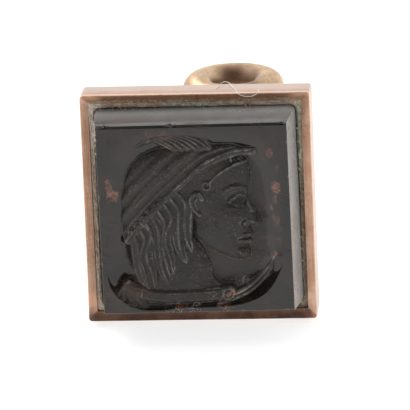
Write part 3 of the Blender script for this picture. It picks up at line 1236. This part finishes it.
def settingMaterial():
    look = settingColours
    material, sheet, shader = newMaterial("roseGilding", {"Metallic": 1.0})
    grime, polish = sheet.mask("grime"), sheet.mask("polish")
    body = sheet.drift(look["rose"], look["pale"], look["drift"], mottle=0.6)
    colour = sheet.mix(sheet.times(polish, look["rubbedShare"]), body, look["rubbed"])
    tarnish = sheet.remap(sheet.noise(0.9, 5.0, 0.6, 0.6), 0.54, 0.78, 0.0, 0.5)
    tarnish = sheet.plus(tarnish, sheet.times(grime, 0.5), True)
    tarnish = sheet.plus(tarnish, sheet.mask("tarnish"), True)
    tarnish = sheet.times(tarnish, sheet.minus(1.0, sheet.times(polish, look["rubbedClean"])))
    colour = sheet.mix(tarnish, colour, look["brown"])
    marks = sheet.use("fileMarks", {"Spacing": look["markSpacing"], "Run": look["markRun"]})["Height"]
    colour = sheet.mix(sheet.remap(marks, 0.5, 0.72, 0.0, look["markTint"]), colour, look["brown"])
    edge = sheet.grime(sheet.mask("wear"), -0.05, 0.5)["Mask"]
    colour = sheet.mix(sheet.times(edge, look["edgeShare"]), colour, look["worn"])
    dirt = sheet.grime(grime, 0.02, 0.28)
    greenness = sheet.remap(sheet.noise(1.3, 3.0), 0.5, 0.7)
    colour = sheet.mix(dirt["Mask"], colour, sheet.mix(greenness, look["dirt"], look["green"]))
    sooty = sheet.times(sheet.mask("soot"), sheet.remap(sheet.noise(0.6, 4.0), 0.3, 0.7, 0.7, 0.95))
    sheet.link(sheet.mix(sooty, colour, look["soot"]), shader["Base Color"])
    sheet.link(sheet.minus(1.0, dirt["Mask"], True), shader["Metallic"])
    rough = sheet.plus(sheet.times(tarnish, look["tarnishMatt"]), look["roughness"])
    rough = sheet.plus(rough, sheet.times(dirt["Mask"], look["dirtMatt"]), True)
    sheet.link(rough, shader["Roughness"])
    normal = sheet.bump(marks, look["markBump"], look["fineDepth"])
    normal = sheet.bump(sheet.scratches(0.8)["Height"], look["scratchBump"], look["fineDepth"], normal)
    normal = sheet.bump(dirt["Height"], look["dirtBump"], look["dirtDepth"], normal)
    sheet.link(normal, shader["Normal"])
    return material


handleColours = {
    "gold": (0.64, 0.45, 0.29, 1), "deep": (0.48, 0.33, 0.20, 1), "brown": (0.15, 0.085, 0.045, 1),
    "worn": (0.76, 0.58, 0.42, 1), "shade": (0.17, 0.09, 0.05, 1),
    "drift": 2.6, "edgeShare": 0.7, "shadeDull": 0.6, "roughness": 0.4, "dirtMatt": 0.4, "smears": 0.14,
    "scratchBump": 0.4, "fineDepth": 0.02, "dirtBump": 0.6, "dirtDepth": 0.05,
}


def handleMaterial():
    look = handleColours
    material, sheet, shader = newMaterial("yellowGilding", {"Metallic": 1.0})
    body = sheet.drift(look["gold"], look["deep"], look["drift"], mottle=0.5)
    edge = sheet.grime(sheet.mask("wear"), -0.1, 0.6)["Mask"]
    colour = sheet.mix(sheet.times(edge, look["edgeShare"]), body, look["worn"])
    dirt = sheet.grime(sheet.mask("grime"), -0.02, 0.4)
    colour = sheet.mix(dirt["Mask"], colour, look["brown"])
    shaded = sheet.times(sheet.mask("shade"), sheet.remap(sheet.noise(0.5, 2.0), 0.3, 0.7, 0.85, 1.0))
    sheet.link(sheet.mix(shaded, colour, look["shade"]), shader["Base Color"])
    sheet.link(sheet.minus(1.0, sheet.times(shaded, look["shadeDull"])), shader["Metallic"])
    rough = sheet.plus(sheet.times(dirt["Mask"], look["dirtMatt"]), look["roughness"])
    smears = sheet.remap(sheet.noise(0.8, 4.0), 0.4, 0.7, 0.0, look["smears"])
    sheet.link(sheet.plus(rough, smears, True), shader["Roughness"])
    normal = sheet.bump(sheet.scratches(0.9)["Height"], look["scratchBump"], look["fineDepth"])
    sheet.link(sheet.bump(dirt["Height"], look["dirtBump"], look["dirtDepth"], normal), shader["Normal"])
    return material


dirtColours = {
    "brown": (0.38, 0.28, 0.20, 1), "grey": (0.56, 0.47, 0.37, 1), "green": (0.30, 0.29, 0.20, 1),
    "greenPale": (0.60, 0.58, 0.46, 1), "white": (0.70, 0.60, 0.50, 1),
    "earthDrift": 0.5, "bloomDrift": 0.25, "mottle": 0.9, "gritBump": 0.9, "gritDepth": 0.08,
}


def dirtMaterial():
    look = dirtColours
    material, sheet, shader = newMaterial("packedDirt", {"Specular IOR Level": 0.25})
    earth = sheet.drift(look["brown"], look["grey"], look["earthDrift"], look["mottle"])
    bloom = sheet.drift(look["green"], look["greenPale"], look["bloomDrift"], look["mottle"])
    green = sheet.grime(sheet.mask("green"), 0.0, 0.7)["Mask"]
    pale = sheet.grime(sheet.mask("pale"), 0.05, 0.3)["Mask"]
    sheet.link(sheet.mix(pale, sheet.mix(green, earth, bloom), look["white"]), shader["Base Color"])
    sheet.link(sheet.remap(sheet.noise(2.0), 0.3, 0.7, 0.75, 0.95), shader["Roughness"])
    grit = sheet.noise(9.0, 6.0, 0.7)
    sheet.link(sheet.bump(grit, look["gritBump"], look["gritDepth"]), shader["Normal"])
    return material


lintColours = {"white": (0.95, 0.93, 0.9, 1), "cream": (0.85, 0.8, 0.74, 1), "drift": 0.6}


def lintMaterial():
    look = lintColours
    material, sheet, shader = newMaterial("paleLint", {"Specular IOR Level": 0.2})
    sheet.link(sheet.drift(look["white"], look["cream"], look["drift"]), shader["Base Color"])
    sheet.link(sheet.remap(sheet.noise(3.0), 0.3, 0.7, 0.7, 0.9), shader["Roughness"])
    return material


# Studio: white floor, white surroundings with a darker patch above the camera, one softbox
studio = {
    "behind": 1.1, "ahead": 0.8, "patch": 0.05, "patchElevation": 56, "patchInner": 26, "patchOuter": 42,
    "softboxSize": 0.35, "softboxPower": 1.6, "softboxAt": (-0.3, 0.25, 0.4),
    "floorSize": 4.0, "floorGlow": 0.74, "paper": (0.59, 0.59, 0.59, 1), "otherPaper": (0.61, 0.61, 0.61, 1),
}
photoCamera = {
    "azimuth": 5.1, "elevation": 15.5, "roll": 2.3, "distance": 520.0, "pixelsPerMm": 12.8,
    "rimCentreAt": (198.5, 206.6), "frame": 410, "sensor": 36.0, "clipStart": 0.01, "clipEnd": 20,
}


def makeCamera():
    look = photoCamera
    azimuth, elevation, roll = (math.radians(look[key]) for key in ("azimuth", "elevation", "roll"))
    level = math.cos(elevation)
    back = Vector((math.sin(azimuth) * level, math.sin(elevation), math.cos(azimuth) * level))
    right = Vector((0, 1, 0)).cross(back).normalized()
    up = back.cross(right)
    tiltedRight = right * math.cos(roll) - up * math.sin(roll)
    tiltedUp = right * math.sin(roll) + up * math.cos(roll)
    half = look["frame"] / 2
    across = (half - look["rimCentreAt"][0]) / look["pixelsPerMm"]
    lift = (look["rimCentreAt"][1] - half) / look["pixelsPerMm"]
    eye = back * look["distance"] + tiltedRight * across + tiltedUp * lift
    axes = Matrix((tiltedRight, tiltedUp, back)).transposed().to_4x4()
    turned = place.to_3x3().normalized().to_4x4()
    data = bpy.data.cameras.new("photoCamera")
    data.sensor_width = look["sensor"]
    data.lens = look["pixelsPerMm"] * look["distance"] / look["frame"] * look["sensor"]
    data.clip_start = look["clipStart"]
    data.clip_end = look["clipEnd"]
    camera = bpy.data.objects.new("photoCamera", data)
    scene.collection.objects.link(camera)
    camera.matrix_world = Matrix.Translation(place @ eye) @ turned @ axes
    scene.camera = camera


def makeWorld():
    look = studio
    world = bpy.data.worlds.new("studio")
    scene.world = world
    world.use_nodes = True
    background = world.node_tree.nodes["Background"].inputs
    sheet = NodeSheet(world.node_tree)
    direction = sheet.add("TexCoord", {})["Generated"]
    tilt = math.radians(look["patchElevation"])
    towards = (0.0, -math.cos(tilt), math.sin(tilt))
    facing = sheet.add("VectorMath", {0: direction, 1: towards}, operation="DOT_PRODUCT")["Value"]
    inner, outer = (math.cos(math.radians(look[key])) for key in ("patchInner", "patchOuter"))
    depth = sheet.add("SeparateXYZ", {0: direction})[1]
    white = sheet.remap(depth, -0.7, 0.7, look["ahead"], look["behind"])
    unshaded = sheet.remap(facing, outer, inner, 1.0, look["patch"])
    sheet.link(sheet.times(white, unshaded), background["Strength"])
    background["Color"].default_value = (1, 1, 1, 1)


def makeFloor():
    look = studio
    size = look["floorSize"] / 2
    mesh = bpy.data.meshes.new("floor")
    corners = [(-size, -size, 0), (size, -size, 0), (size, size, 0), (-size, size, 0)]
    mesh.from_pydata(corners, [], [[0, 1, 2, 3]])
    floor = bpy.data.objects.new("floor", mesh)
    scene.collection.objects.link(floor)
    material, sheet, shader = newMaterial("whitePaper", {
        "Roughness": 0.9, "Specular IOR Level": 0.1,
        "Emission Color": (1, 1, 1, 1), "Emission Strength": look["floorGlow"],
    }, onSeal=False)
    mask = sheet.remap(sheet.noise(40.0), 0.3, 0.7)
    sheet.link(sheet.mix(mask, look["paper"], look["otherPaper"]), shader["Base Color"])
    mesh.materials.append(material)


def makeSoftbox():
    look = studio
    data = bpy.data.lights.new("softbox", "AREA")
    data.shape = "SQUARE"
    data.size = look["softboxSize"]
    data.energy = look["softboxPower"]
    softbox = bpy.data.objects.new("softbox", data)
    scene.collection.objects.link(softbox)
    softbox.location = look["softboxAt"]
    softbox.rotation_euler = (-Vector(look["softboxAt"])).to_track_quat("-Z", "Y").to_euler()


makeCamera()
makeWorld()
makeFloor()
makeSoftbox()
scene.view_settings.view_transform = "Standard"
scene.view_settings.look = "None"
print("camera and studio set")

stonePiece = makeStone()
print("stone carved:", len(stonePiece.data.polygons), "faces")
settingPiece = makeSetting()
print("setting lofted:", len(settingPiece.data.polygons), "faces")
handlePiece = makeHandle()
print("handle cast:", len(handlePiece.data.polygons), "faces")
dirtPiece = makeGapDirt()
crumbPiece = makeCrumbs()
lintPiece = makeLint()
print("dirt, crumbs and lint laid")

dirt = dirtMaterial()
for piece, material in (
    (stonePiece, stoneMaterial()), (settingPiece, settingMaterial()), (handlePiece, handleMaterial()),
    (dirtPiece, dirt), (crumbPiece, dirt), (lintPiece, lintMaterial()),
):
    piece.data.materials.append(material)
print("materials made")

print("sizes written")
